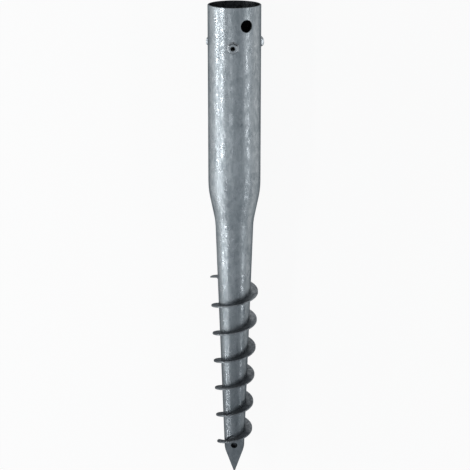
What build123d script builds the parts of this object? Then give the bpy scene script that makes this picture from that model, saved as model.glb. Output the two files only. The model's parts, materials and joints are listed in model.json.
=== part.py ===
"""Foundation ground screw: one swaged steel tube with a welded helix flight.

Millimetres. The screw lies on its side: its axis is the Y axis, with the open mouth
at Y = 0, the point at negative Y and the top clamp nut facing +Z. Distances called
"from the mouth" run along the axis toward the point.
"""

import os
from math import atan, degrees, radians, sin, tan

from build123d import *

os.makedirs("parts", exist_ok=True)

# Tube: a welded steel tube, drawn down to a long cone and pressed to a point.
tube_diameter = 76.1
wall = 2.6
mouth_chamfer = 0.5
tube_length = 722.0
swage_start = 269.5          # from the mouth, where the straight run turns in
swage_end = 318.0            # from the mouth, where the swage meets the cone
swage_start_rounding = 122.0
swage_end_rounding = 95.0
cone_top_diameter = 56.1
cone_end_diameter = 30.0

# Point: the cone's end pressed between two flats and closed to a V.
point_length = 43.0          # the V, from its shoulders to its tip
flat_above_point = 12.0      # how far the flats reach above the shoulders
press_ramp = 12.0            # from the round cone down to the flats
flat_thickness = 17.0
point_thickness = 5.2
point_width = 0.8
drain_hole_diameter = 10.0
drain_hole_above_point = 3.0

# Head: a hole for the turning bar, and three clamp bolts around the socket.
bar_hole_diameter = 18.0
bar_hole_position = 26.0     # from the mouth
bar_hole_turn = 30.0         # degrees from the top nut toward +X
nut_count = 3
nut_position = 56.0          # from the mouth
nut_across_flats = 13.0      # M8
nut_height = 6.5
nut_bore = 6.8
nut_chamfer_angle = 30.0
nut_face_diameter = 12.0
bolt_hole_diameter = 9.0
nut_weld_leg = 1.6

# Helix flight: flat strip wound on edge around the cone, welded along its lower root.
flight_start = 406.5         # from the mouth, at the -X side
flight_pitch = 44.3
flight_past_flat = 7.5       # how far the strip runs on beside the flats
flight_start_turn = 90.0     # degrees about the axis that bring the start to the -X side
flight_height = 11.2         # how far the strip stands out from the cone
flight_thickness = 2.2
flight_edge_rounding = 0.5
flight_weld_leg = 1.8
root_overlap = 2.0           # strip and bead are trimmed back to the tube by this much

tube_radius = tube_diameter / 2
cone_end = tube_length - point_length
flat_start = cone_end - flat_above_point
press_start = flat_start - press_ramp
flight_turns = (flat_start + flight_past_flat - flight_start) / flight_pitch
cone_slope = (cone_top_diameter - cone_end_diameter) / 2 / (cone_end - swage_end)
cone_angle = degrees(atan(cone_slope))
clear_of_tube = tube_diameter  # half size of the blocks that trim the point
press_share = 0.7            # how far the two walls stay apart at the very point
nut_chamfer_drop = (nut_across_flats - nut_face_diameter / 2) * tan(radians(nut_chamfer_angle))
nut_weld_depth = 3.0         # the weld reaches down to the tube's curve
nut_weld_taper = 40.0
nut_planes = [
    Plane(
        origin=(0, -nut_position, 0),
        x_dir=(0, 1, 0),
        z_dir=Vector(0, 0, 1).rotate(Axis.Y, 360 / nut_count * number),
    )
    for number in range(nut_count)
]


def cone_radius(from_mouth):
    """Outer radius of the cone at a distance from the mouth."""
    return cone_end_diameter / 2 + cone_slope * (cone_end - from_mouth)


def tube_solid(inset):
    """The tube's outline as a solid, drawn in by inset all round and open at the mouth."""
    point_half = point_width / 2
    side_angle = atan((cone_end_diameter / 2 - point_half) / (tube_length - cone_end))
    tip = tube_length - inset / sin(side_angle)
    with BuildPart() as body:
        with BuildSketch(Plane.XY):
            with BuildLine():
                Polyline(
                    (0, 0),
                    (tube_radius - inset, 0),
                    (tube_radius - inset, -swage_start),
                    (cone_top_diameter / 2 - inset, -swage_end),
                    (cone_radius(tube_length) - inset, -tube_length),
                    (0, -tube_length),
                    close=True,
                )
            make_face()
            corners = vertices().sort_by(Axis.Y, reverse=True)
            fillet(corners[2], swage_start_rounding)
            fillet(vertices().sort_by_distance((cone_top_diameter / 2, -swage_end))[0],
                   swage_end_rounding)
        revolve(axis=Axis.Y)
        with BuildSketch(Plane.YZ):
            with BuildLine():
                Polyline(
                    (0, clear_of_tube),
                    (-press_start, cone_radius(press_start) - inset),
                    (-flat_start, flat_thickness / 2 - inset),
                    (-tube_length, point_thickness / 2 - inset * press_share),
                    (-tube_length, 0),
                    (0, 0),
                    close=True,
                )
            make_face()
            mirror(about=Plane.XZ)
        extrude(amount=clear_of_tube, both=True, mode=Mode.INTERSECT)
        with BuildSketch(Plane.XY):
            with BuildLine():
                Polyline(
                    (0, 0),
                    (clear_of_tube, 0),
                    (clear_of_tube, -cone_end),
                    (cone_end_diameter / 2 - inset, -cone_end),
                    (point_half, -tip),
                    (0, -tip),
                    close=True,
                )
            make_face()
            mirror(about=Plane.YZ)
        extrude(amount=clear_of_tube, both=True, mode=Mode.INTERSECT)
    return body.part


# ---- swaged tube ------------------------------------------------------------
tube_outline = tube_solid(0)

with BuildPart() as screw_tube:
    add(tube_outline)
    add(tube_solid(wall), mode=Mode.SUBTRACT)
    rim = edges().filter_by(GeomType.CIRCLE).group_by(Axis.Y)[-1]
    chamfer(rim, mouth_chamfer)
    bar_plane = Plane(
        origin=(0, -bar_hole_position, 0),
        x_dir=(0, 1, 0),
        z_dir=Vector(0, 0, 1).rotate(Axis.Y, bar_hole_turn),
    )
    with BuildSketch(bar_plane):
        Circle(bar_hole_diameter / 2)
    extrude(amount=tube_diameter, both=True, mode=Mode.SUBTRACT)
    for nut_plane in nut_planes:
        with BuildSketch(nut_plane):
            Circle(bolt_hole_diameter / 2)
        extrude(amount=tube_diameter, mode=Mode.SUBTRACT)
    with BuildSketch(Plane.XY):
        with Locations((0, drain_hole_above_point - cone_end)):
            Circle(drain_hole_diameter / 2)
    extrude(amount=tube_diameter, mode=Mode.SUBTRACT)
screw_tube.part.label = "screw_tube"
export_step(screw_tube.part, "parts/screw_tube.step")


# ---- helix flight and its root weld -----------------------------------------
# The helix starts at the -X side and runs toward the point, falling behind the tube.
with BuildLine() as flight_path:
    Helix(
        pitch=flight_pitch,
        height=flight_pitch * flight_turns,
        radius=cone_radius(flight_start),
        center=(0, -flight_start, 0),
        direction=(0, -1, 0),
        cone_angle=-cone_angle,
    )
flight_run = flight_path.line.rotate(Axis.Y, flight_start_turn)
run_start = flight_run @ 0
strip_plane = Plane(
    origin=run_start, x_dir=(run_start.X, 0, run_start.Z), z_dir=flight_run % 0
)

with BuildPart() as helix_flight:
    with BuildSketch(strip_plane) as strip:
        with Locations(((flight_height - root_overlap) / 2, 0)):
            Rectangle(flight_height + root_overlap, flight_thickness)
        fillet(strip.vertices().sort_by_distance((0, -flight_start, 0))[-2:], flight_edge_rounding)
    sweep(path=flight_run, is_frenet=True)
    add(tube_outline, mode=Mode.SUBTRACT)
helix_flight.part.label = "helix_flight"
export_step(helix_flight.part, "parts/helix_flight.step")

with BuildPart() as flight_weld:
    with BuildSketch(strip_plane):
        with BuildLine():
            Polyline(
                (-root_overlap, -flight_thickness / 2),
                (flight_weld_leg, -flight_thickness / 2),
                (0, -flight_thickness / 2 - flight_weld_leg),
                (-root_overlap, -flight_thickness / 2 - flight_weld_leg),
                close=True,
            )
        make_face()
    sweep(path=flight_run, is_frenet=True)
    add(tube_outline, mode=Mode.SUBTRACT)
flight_weld.part.label = "flight_weld"
export_step(flight_weld.part, "parts/flight_weld.step")


# ---- clamp nuts, each on its ring of weld -----------------------------------
for number, nut_plane in enumerate(nut_planes, start=1):
    seat_plane = nut_plane.offset(tube_radius)

    with BuildPart() as clamp_nut:
        with BuildSketch(seat_plane):
            RegularPolygon(nut_across_flats / 2, 6, major_radius=False)
        extrude(amount=nut_height)
        with BuildSketch(Plane(seat_plane.origin, seat_plane.x_dir, -seat_plane.y_dir)):
            with BuildLine():
                Polyline(
                    (0, 0),
                    (nut_across_flats, 0),
                    (nut_across_flats, nut_height - nut_chamfer_drop),
                    (nut_face_diameter / 2, nut_height),
                    (0, nut_height),
                    close=True,
                )
            make_face()
        revolve(axis=Axis(seat_plane.origin, seat_plane.z_dir), mode=Mode.INTERSECT)
        with BuildSketch(seat_plane):
            Circle(nut_bore / 2)
        extrude(amount=nut_height, mode=Mode.SUBTRACT)
    clamp_nut.part.label = f"clamp_nut_{number}"
    export_step(clamp_nut.part, f"parts/clamp_nut_{number}.step")

    with BuildPart() as nut_weld:
        with BuildSketch(seat_plane):
            RegularPolygon(nut_across_flats / 2 + nut_weld_leg, 6, major_radius=False)
        extrude(amount=-nut_weld_depth)
        with BuildSketch(seat_plane):
            RegularPolygon(nut_across_flats / 2 + nut_weld_leg, 6, major_radius=False)
        extrude(amount=nut_weld_leg, taper=nut_weld_taper)
        add(tube_outline, mode=Mode.SUBTRACT)
        add(clamp_nut.part, mode=Mode.SUBTRACT)
        with BuildSketch(nut_plane):
            Circle(bolt_hole_diameter / 2)
        extrude(amount=tube_diameter, mode=Mode.SUBTRACT)
    nut_weld.part.label = f"nut_weld_{number}"
    export_step(nut_weld.part, f"parts/nut_weld_{number}.step")
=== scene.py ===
"""Foundation ground screw, hot-dip galvanised, lying on a pale studio floor.

Metres. The screw axis is the Y axis, the mouth is at Y = 0 and the point at negative Y.
"""

import json
import math

import bmesh
import bpy
from mathutils import Matrix, Vector


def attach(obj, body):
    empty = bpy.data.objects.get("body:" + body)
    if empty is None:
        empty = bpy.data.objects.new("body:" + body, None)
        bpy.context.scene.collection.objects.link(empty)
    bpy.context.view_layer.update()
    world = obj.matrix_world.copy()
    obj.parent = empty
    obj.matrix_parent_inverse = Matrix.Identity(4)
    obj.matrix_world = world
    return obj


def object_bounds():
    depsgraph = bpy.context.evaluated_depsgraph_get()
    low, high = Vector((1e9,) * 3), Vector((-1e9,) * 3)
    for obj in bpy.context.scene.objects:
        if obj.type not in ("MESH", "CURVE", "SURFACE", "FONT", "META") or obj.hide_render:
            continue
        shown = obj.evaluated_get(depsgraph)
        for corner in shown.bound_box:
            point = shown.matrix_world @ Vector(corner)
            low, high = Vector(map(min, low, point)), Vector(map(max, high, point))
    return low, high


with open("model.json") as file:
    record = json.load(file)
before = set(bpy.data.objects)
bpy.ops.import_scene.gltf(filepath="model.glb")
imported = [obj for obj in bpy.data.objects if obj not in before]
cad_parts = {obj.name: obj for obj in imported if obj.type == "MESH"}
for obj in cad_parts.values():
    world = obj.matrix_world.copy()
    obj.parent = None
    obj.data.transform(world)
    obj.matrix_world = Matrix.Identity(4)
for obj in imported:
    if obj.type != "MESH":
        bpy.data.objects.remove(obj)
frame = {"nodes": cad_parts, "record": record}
cad_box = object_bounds()
mm = 0.001

# ---- camera -----------------------------------------------------------------
CAMERA_ABOVE = 2170 * mm      # from the screw axis
CAMERA_BEYOND_MOUTH = 324.9 * mm
CAMERA_PITCH = math.radians(17.05)
CAMERA_ROLL_ABOUT_SCREW = math.radians(3.0)
CAMERA_SENSOR = 36.0          # mm
CAMERA_LENS = 117.80425531914894    # mm
CAMERA_SHIFT = 0.0012765957446808510    # of the frame's width


def add_camera():
    """Look down on the screw, a little round to its +X side."""
    data = bpy.data.cameras.new("camera")
    data.sensor_width = CAMERA_SENSOR
    data.lens = CAMERA_LENS
    data.shift_x = CAMERA_SHIFT
    camera = bpy.data.objects.new("camera", data)
    bpy.context.collection.objects.link(camera)
    turn = Matrix.Rotation(CAMERA_ROLL_ABOUT_SCREW, 3, "Y")
    place = turn @ Vector((0, CAMERA_BEYOND_MOUTH, CAMERA_ABOVE))
    forward = turn @ Vector((0, -math.sin(CAMERA_PITCH), -math.cos(CAMERA_PITCH)))
    right = forward.cross(Vector((0, 1, 0))).normalized()
    up = right.cross(forward)
    axes = Matrix((right, up, -forward)).transposed()
    camera.matrix_world = Matrix.Translation(place) @ axes.to_4x4()
    bpy.context.scene.camera = camera


add_camera()


# ---- node helpers -----------------------------------------------------------
MIX_FACTOR, MIX_FIRST, MIX_SECOND = 0, 6, 7     # a colour Mix node's inputs
MIX_RESULT = 2


class Shader:
    """A node material, with short calls for the nodes that it uses."""

    def __init__(self, name):
        self.material = bpy.data.materials.new(name)
        self.material.use_nodes = True
        self.tree = self.material.node_tree
        self.principled = self.tree.nodes["Principled BSDF"]
        self.output = self.tree.nodes["Material Output"]
        self.position = self.tree.nodes.new("ShaderNodeTexCoord").outputs["Object"]

    def link(self, source, target):
        self.tree.links.new(source, target)

    def stretched(self, stretch):
        mapping = self.tree.nodes.new("ShaderNodeMapping")
        mapping.inputs["Scale"].default_value = stretch
        self.link(self.position, mapping.inputs["Vector"])
        return mapping.outputs["Vector"]

    def coordinate(self, letter):
        split = self.tree.nodes.new("ShaderNodeSeparateXYZ")
        self.link(self.position, split.inputs["Vector"])
        return split.outputs[letter]

    def noise(self, scale, detail, roughness=0.55, stretch=(1, 1, 1), distortion=0.0):
        node = self.tree.nodes.new("ShaderNodeTexNoise")
        node.inputs["Scale"].default_value = scale
        node.inputs["Detail"].default_value = detail
        node.inputs["Roughness"].default_value = roughness
        node.inputs["Distortion"].default_value = distortion
        self.link(self.stretched(stretch), node.inputs["Vector"])
        return node.outputs["Fac"]

    def cells(self, scale, stretch):
        node = self.tree.nodes.new("ShaderNodeTexVoronoi")
        node.inputs["Scale"].default_value = scale
        self.link(self.stretched(stretch), node.inputs["Vector"])
        split = self.tree.nodes.new("ShaderNodeSeparateColor")
        self.link(node.outputs["Color"], split.inputs["Color"])
        return split.outputs["Red"]

    def ramp(self, value, stops):
        node = self.tree.nodes.new("ShaderNodeValToRGB")
        for element, (place, colour) in zip(node.color_ramp.elements, stops):
            element.position = place
            element.color = (*colour, 1)
        self.link(value, node.inputs["Fac"])
        return node.outputs["Color"]

    def mix(self, factor, first, second):
        node = self.tree.nodes.new("ShaderNodeMix")
        node.data_type = "RGBA"
        self.link(factor, node.inputs[MIX_FACTOR])
        self.link(first, node.inputs[MIX_FIRST])
        node.inputs[MIX_SECOND].default_value = (*second, 1)
        return node.outputs[MIX_RESULT]

    def math(self, operation, first, second):
        node = self.tree.nodes.new("ShaderNodeMath")
        node.operation = operation
        for value, socket in ((first, node.inputs[0]), (second, node.inputs[1])):
            if isinstance(value, (int, float)):
                socket.default_value = value
            else:
                self.link(value, socket)
        return node.outputs["Value"]

    def spread(self, value, low, high, start=0.3, end=0.7):
        node = self.tree.nodes.new("ShaderNodeMapRange")
        node.inputs["From Min"].default_value = start
        node.inputs["From Max"].default_value = end
        node.inputs["To Min"].default_value = low
        node.inputs["To Max"].default_value = high
        self.link(value, node.inputs["Value"])
        return node.outputs["Result"]

    def bump(self, height, distance, strength, normal=None):
        node = self.tree.nodes.new("ShaderNodeBump")
        node.inputs["Distance"].default_value = distance
        node.inputs["Strength"].default_value = strength
        self.link(height, node.inputs["Height"])
        if normal:
            self.link(normal, node.inputs["Normal"])
        return node.outputs["Normal"]


# ---- materials --------------------------------------------------------------
SOCKET = next(mount for mount in frame["record"]["mounts"] if mount["name"] == "post_socket")
HALF_WALL = 1.3 * mm
SOCKET_DEPTH = SOCKET["dims"]["length_mm"] * mm
SOCKET_SHELL = SOCKET["dims"]["r_mm"] * mm + HALF_WALL

ZINC_METALLIC = 0.9
GRAZING_TINT = (0.10, 0.11, 0.12)     # dull zinc darkens where it is seen edge on
PAINTED_SHADE_RUN = (290 * mm, 560 * mm)       # painted shade: the cone darkens from 290 mm on toward the point, standing in for the flights' shadow and the dark room's reflection
PAINTED_SHADE_SHARE = 0.50
PATCH_EDGES = (0.32, 0.68)            # where a patch turns from dark to pale
PAINTED_SHADE_ZINC = (0.07, 0.08, 0.09)
RUN_ZINC = (0.46, 0.49, 0.51)
FLECK_ZINC = (0.52, 0.55, 0.57)
CRYSTAL_ZINC = (0.55, 0.58, 0.60)
BRIGHT_ZINC = (0.58, 0.61, 0.64)
DARK_ZINC = (0.10, 0.12, 0.14)
SOCKET_PAINTED_SHADE = (0.07, 0.075, 0.08)     # painted shade on the socket's inner wall, which lies unlit


def inside_of_socket(shader):
    """1 on the socket's inner wall, 0 on everything outside it."""
    across = shader.math("POWER", shader.coordinate("X"), 2)
    upward = shader.math("POWER", shader.coordinate("Z"), 2)
    within = shader.math("LESS_THAN", shader.math("ADD", across, upward), SOCKET_SHELL ** 2)
    return shader.math("MULTIPLY", within,
                       shader.math("GREATER_THAN", shader.coordinate("Y"), -SOCKET_DEPTH))


def galvanised(name, dark, pale, low_gloss, high_gloss, ripple=0.0, shade_socket=False):
    """Zinc over steel: crystals, runs along the screw, dull patches and fine grain, with painted
    shade darkening the cone toward the point and, where asked, the socket's inner wall.
    """
    shader = Shader(name)
    patches = shader.noise(scale=30, detail=6, roughness=0.65, stretch=(1, 0.55, 1),
                           distortion=0.8)
    flecks = shader.noise(scale=230, detail=4, roughness=0.7, stretch=(1, 0.45, 1),
                          distortion=0.5)
    runs = shader.noise(scale=120, detail=3, stretch=(1, 0.05, 1))
    blotches = shader.noise(scale=105, detail=6, roughness=0.72, stretch=(1, 0.5, 1),
                            distortion=1.4)
    crystals = shader.cells(scale=260, stretch=(1, 0.6, 1))

    colour = shader.ramp(patches, zip(PATCH_EDGES, (dark, pale)))
    colour = shader.mix(shader.spread(runs, low=0.0, high=0.30), colour, RUN_ZINC)
    colour = shader.mix(shader.spread(flecks, low=0.0, high=0.45), colour, FLECK_ZINC)
    colour = shader.mix(shader.spread(crystals, low=0.0, high=0.22), colour, CRYSTAL_ZINC)
    bright = shader.spread(blotches, low=0.0, high=0.30, start=0.52, end=0.60)
    colour = shader.mix(bright, colour, BRIGHT_ZINC)
    shaded = shader.spread(blotches, low=0.32, high=0.0, start=0.30, end=0.42)
    colour = shader.mix(shaded, colour, DARK_ZINC)
    # painted shade: the base colour darkens along the cone toward the point
    toward_point = shader.math("MULTIPLY", shader.coordinate("Y"), -1)
    shade_start, shade_end = PAINTED_SHADE_RUN
    painted_shade = shader.spread(toward_point, low=0.0, high=PAINTED_SHADE_SHARE, start=shade_start, end=shade_end)
    colour = shader.mix(painted_shade, colour, PAINTED_SHADE_ZINC)
    # painted shade: the socket's inner wall is darkened
    if shade_socket:
        colour = shader.mix(inside_of_socket(shader), colour, SOCKET_PAINTED_SHADE)
    shader.link(colour, shader.principled.inputs["Base Color"])

    fine = shader.noise(scale=420, detail=2)
    grains = shader.math("ADD", shader.spread(flecks, low=0.10, high=-0.10),
                         shader.spread(fine, low=-0.04, high=0.04))
    dimmed = shader.spread(blotches, low=0.08, high=-0.08, start=0.42, end=0.60)
    grains = shader.math("ADD", grains, dimmed)
    gloss = shader.spread(patches, low=low_gloss, high=high_gloss)
    shader.link(shader.math("ADD", gloss, grains), shader.principled.inputs["Roughness"])
    shader.principled.inputs["Metallic"].default_value = ZINC_METALLIC
    shader.principled.inputs["Specular Tint"].default_value = (*GRAZING_TINT, 1)

    waves = shader.bump(shader.noise(scale=60, detail=3, stretch=(1, 0.3, 1)),
                        distance=1.0 * mm, strength=0.5)
    frost = shader.bump(flecks, distance=0.45 * mm, strength=0.42, normal=waves)
    grain = shader.bump(shader.noise(scale=900, detail=3),
                        distance=0.06 * mm, strength=0.5, normal=frost)
    if ripple:
        grain = shader.bump(shader.noise(scale=260, detail=2),
                            distance=ripple, strength=0.9, normal=grain)
    shader.link(grain, shader.principled.inputs["Normal"])
    return shader.material


tube_zinc = galvanised("galvanised_tube", dark=(0.15, 0.18, 0.20), pale=(0.28, 0.32, 0.34),
                       low_gloss=0.28, high_gloss=0.44, shade_socket=True)
# painted shade: the flight's zinc is a darker copy of the tube's, standing in for the shade and
# dark reflections on the flight
flight_painted_shade_zinc = galvanised("galvanised_flight_painted_shade", dark=(0.05, 0.056, 0.062), pale=(0.12, 0.13, 0.14),
                         low_gloss=0.40, high_gloss=0.54)
weld_zinc = galvanised("galvanised_weld", dark=(0.24, 0.26, 0.28), pale=(0.38, 0.41, 0.43),
                       low_gloss=0.34, high_gloss=0.50, ripple=0.5 * mm)
nut_zinc = galvanised("galvanised_nut", dark=(0.18, 0.20, 0.22), pale=(0.31, 0.34, 0.36),
                      low_gloss=0.30, high_gloss=0.44)


def dress(node, material):
    """Give a carried-over CAD node its finish."""
    for slot in frame["nodes"][node].material_slots:
        slot.material = material


dress("screw_tube", tube_zinc)
dress("helix_flight", flight_painted_shade_zinc)
dress("flight_weld", weld_zinc)
for number in (1, 2, 3):
    dress(f"clamp_nut_{number}", nut_zinc)
    dress(f"nut_weld_{number}", weld_zinc)


# ---- thread in the clamp nuts -----------------------------------------------
THREAD_PITCH = 1.25 * mm
THREAD_CREST_RADIUS = 3.3 * mm
THREAD_HALF_ROOT = THREAD_PITCH / 2.2     # half the ridge's width where it meets the bore
THREAD_SEGMENTS = 32                      # steps in a turn


def add_thread(mount):
    """A fine ridge that winds up a nut's bore at the pitch of an M8 thread."""
    root_radius = mount["dims"]["r_mm"] * mm
    run = mount["dims"]["length_mm"] * mm - THREAD_PITCH
    middle = Vector(mount["pos_m"])
    outward = Vector(mount["axis"])
    along = Vector((0, 1, 0))
    across = outward.cross(along)
    profile = ((root_radius, -THREAD_HALF_ROOT), (THREAD_CREST_RADIUS, 0),
               (root_radius, THREAD_HALF_ROOT))
    steps = int(run / THREAD_PITCH * THREAD_SEGMENTS)
    mesh = bmesh.new()
    rings = []
    for step in range(steps + 1):
        angle = 2 * math.pi * step / THREAD_SEGMENTS
        spoke = along * math.cos(angle) + across * math.sin(angle)
        centre = middle + outward * (step / steps * run - run / 2)
        rings.append([mesh.verts.new(centre + spoke * radius + outward * shift)
                      for radius, shift in profile])
    for first, second in zip(rings, rings[1:]):
        for side in range(len(profile)):
            other = (side + 1) % len(profile)
            mesh.faces.new((first[side], second[side], second[other], first[other]))
    mesh.faces.new(rings[0])
    mesh.faces.new(reversed(rings[-1]))
    bmesh.ops.recalc_face_normals(mesh, faces=mesh.faces)
    data = bpy.data.meshes.new(mount["name"] + "_thread")
    mesh.to_mesh(data)
    mesh.free()
    thread = bpy.data.objects.new(data.name, data)
    bpy.context.collection.objects.link(thread)
    data.materials.append(nut_zinc)
    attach(thread, "root")


for mount in frame["record"]["mounts"]:
    if mount["kind"] == "threaded_hole":
        add_thread(mount)


# ---- studio -----------------------------------------------------------------
ROOM_GREY = (0.42, 0.45, 0.48)
ROOM_DARK = (0.10, 0.105, 0.115)
ROOM_FADE = (0.1, 0.6)        # how far toward the mouth's side the room darkens
FLOOR_GREY = (0.80, 0.80, 0.80)
FLOOR_ROUGHNESS = 0.9
FLOOR_WHITE = 0.92            # the rest of what is seen is paper, which keeps the shadow
FLOOR_HALF_SIZE = 60.0        # its edge stays out of sight from low angles
SCREW_MIDDLE = Vector((0, -360 * mm, 0))


def add_floor(level):
    """A pale floor, almost white both to the camera and in the zinc's reflections."""
    mesh = bpy.data.meshes.new("floor")
    sides = ((-1, -1), (1, -1), (1, 1), (-1, 1))
    corners = [(x * FLOOR_HALF_SIZE, y * FLOOR_HALF_SIZE, level) for x, y in sides]
    mesh.from_pydata(corners, [], [(0, 1, 2, 3)])
    floor = bpy.data.objects.new("floor", mesh)
    bpy.context.collection.objects.link(floor)
    shader = Shader("floor_paper")
    shader.principled.inputs["Base Color"].default_value = (*FLOOR_GREY, 1)
    shader.principled.inputs["Roughness"].default_value = FLOOR_ROUGHNESS
    white = shader.tree.nodes.new("ShaderNodeEmission")
    path = shader.tree.nodes.new("ShaderNodeLightPath")
    mirrored = shader.math("MAXIMUM", path.outputs["Is Glossy Ray"],
                           path.outputs["Is Transmission Ray"])
    seen = shader.math("MAXIMUM", path.outputs["Is Camera Ray"], mirrored)
    share = shader.math("MULTIPLY", seen, FLOOR_WHITE)
    mixer = shader.tree.nodes.new("ShaderNodeMixShader")
    shader.link(share, mixer.inputs["Fac"])
    shader.link(shader.principled.outputs["BSDF"], mixer.inputs[1])
    shader.link(white.outputs["Emission"], mixer.inputs[2])
    shader.link(mixer.outputs["Shader"], shader.output.inputs["Surface"])
    mesh.materials.append(shader.material)


def add_lamp(name, side_angle, distance, width, length, power):
    """A long softbox beside the screw, side_angle round from straight above toward +X."""
    data = bpy.data.lights.new(name, "AREA")
    data.shape = "RECTANGLE"
    data.size = width
    data.size_y = length
    data.energy = power
    lamp = bpy.data.objects.new(name, data)
    bpy.context.collection.objects.link(lamp)
    angle = math.radians(side_angle)
    offset = Vector((math.sin(angle), 0, math.cos(angle))) * distance
    forward = -offset.normalized()
    along = Vector((0, 1, 0))
    axes = Matrix((along.cross(forward), along, -forward)).transposed()
    lamp.matrix_world = Matrix.Translation(SCREW_MIDDLE + offset) @ axes.to_4x4()


def add_world():
    """An even grey room, darker beyond the mouth, where the flight's upper faces look."""
    world = bpy.data.worlds.new("studio")
    bpy.context.scene.world = world
    world.use_nodes = True
    tree = world.node_tree
    direction = tree.nodes.new("ShaderNodeTexCoord").outputs["Generated"]
    split = tree.nodes.new("ShaderNodeSeparateXYZ")
    fade = tree.nodes.new("ShaderNodeMapRange")
    fade.interpolation_type = "SMOOTHSTEP"
    fade.inputs["From Min"].default_value, fade.inputs["From Max"].default_value = ROOM_FADE
    room = tree.nodes.new("ShaderNodeMix")
    room.data_type = "RGBA"
    room.inputs[MIX_FIRST].default_value = (*ROOM_GREY, 1)
    room.inputs[MIX_SECOND].default_value = (*ROOM_DARK, 1)
    tree.links.new(direction, split.inputs["Vector"])
    tree.links.new(split.outputs["Y"], fade.inputs["Value"])
    tree.links.new(fade.outputs["Result"], room.inputs[MIX_FACTOR])
    tree.links.new(room.outputs[MIX_RESULT], tree.nodes["Background"].inputs["Color"])


add_floor(cad_box[0][2])
add_lamp("key_left", side_angle=-52, distance=1.9, width=0.13, length=2.6, power=12)
add_lamp("key_left_low", side_angle=-76, distance=1.9, width=0.08, length=2.6, power=14)
add_lamp("fill_right", side_angle=62, distance=2.2, width=0.20, length=2.6, power=8)
add_lamp("overhead", side_angle=-14, distance=3.4, width=0.7, length=2.4, power=5)
add_world()
bpy.context.scene.view_settings.view_transform = "Standard"
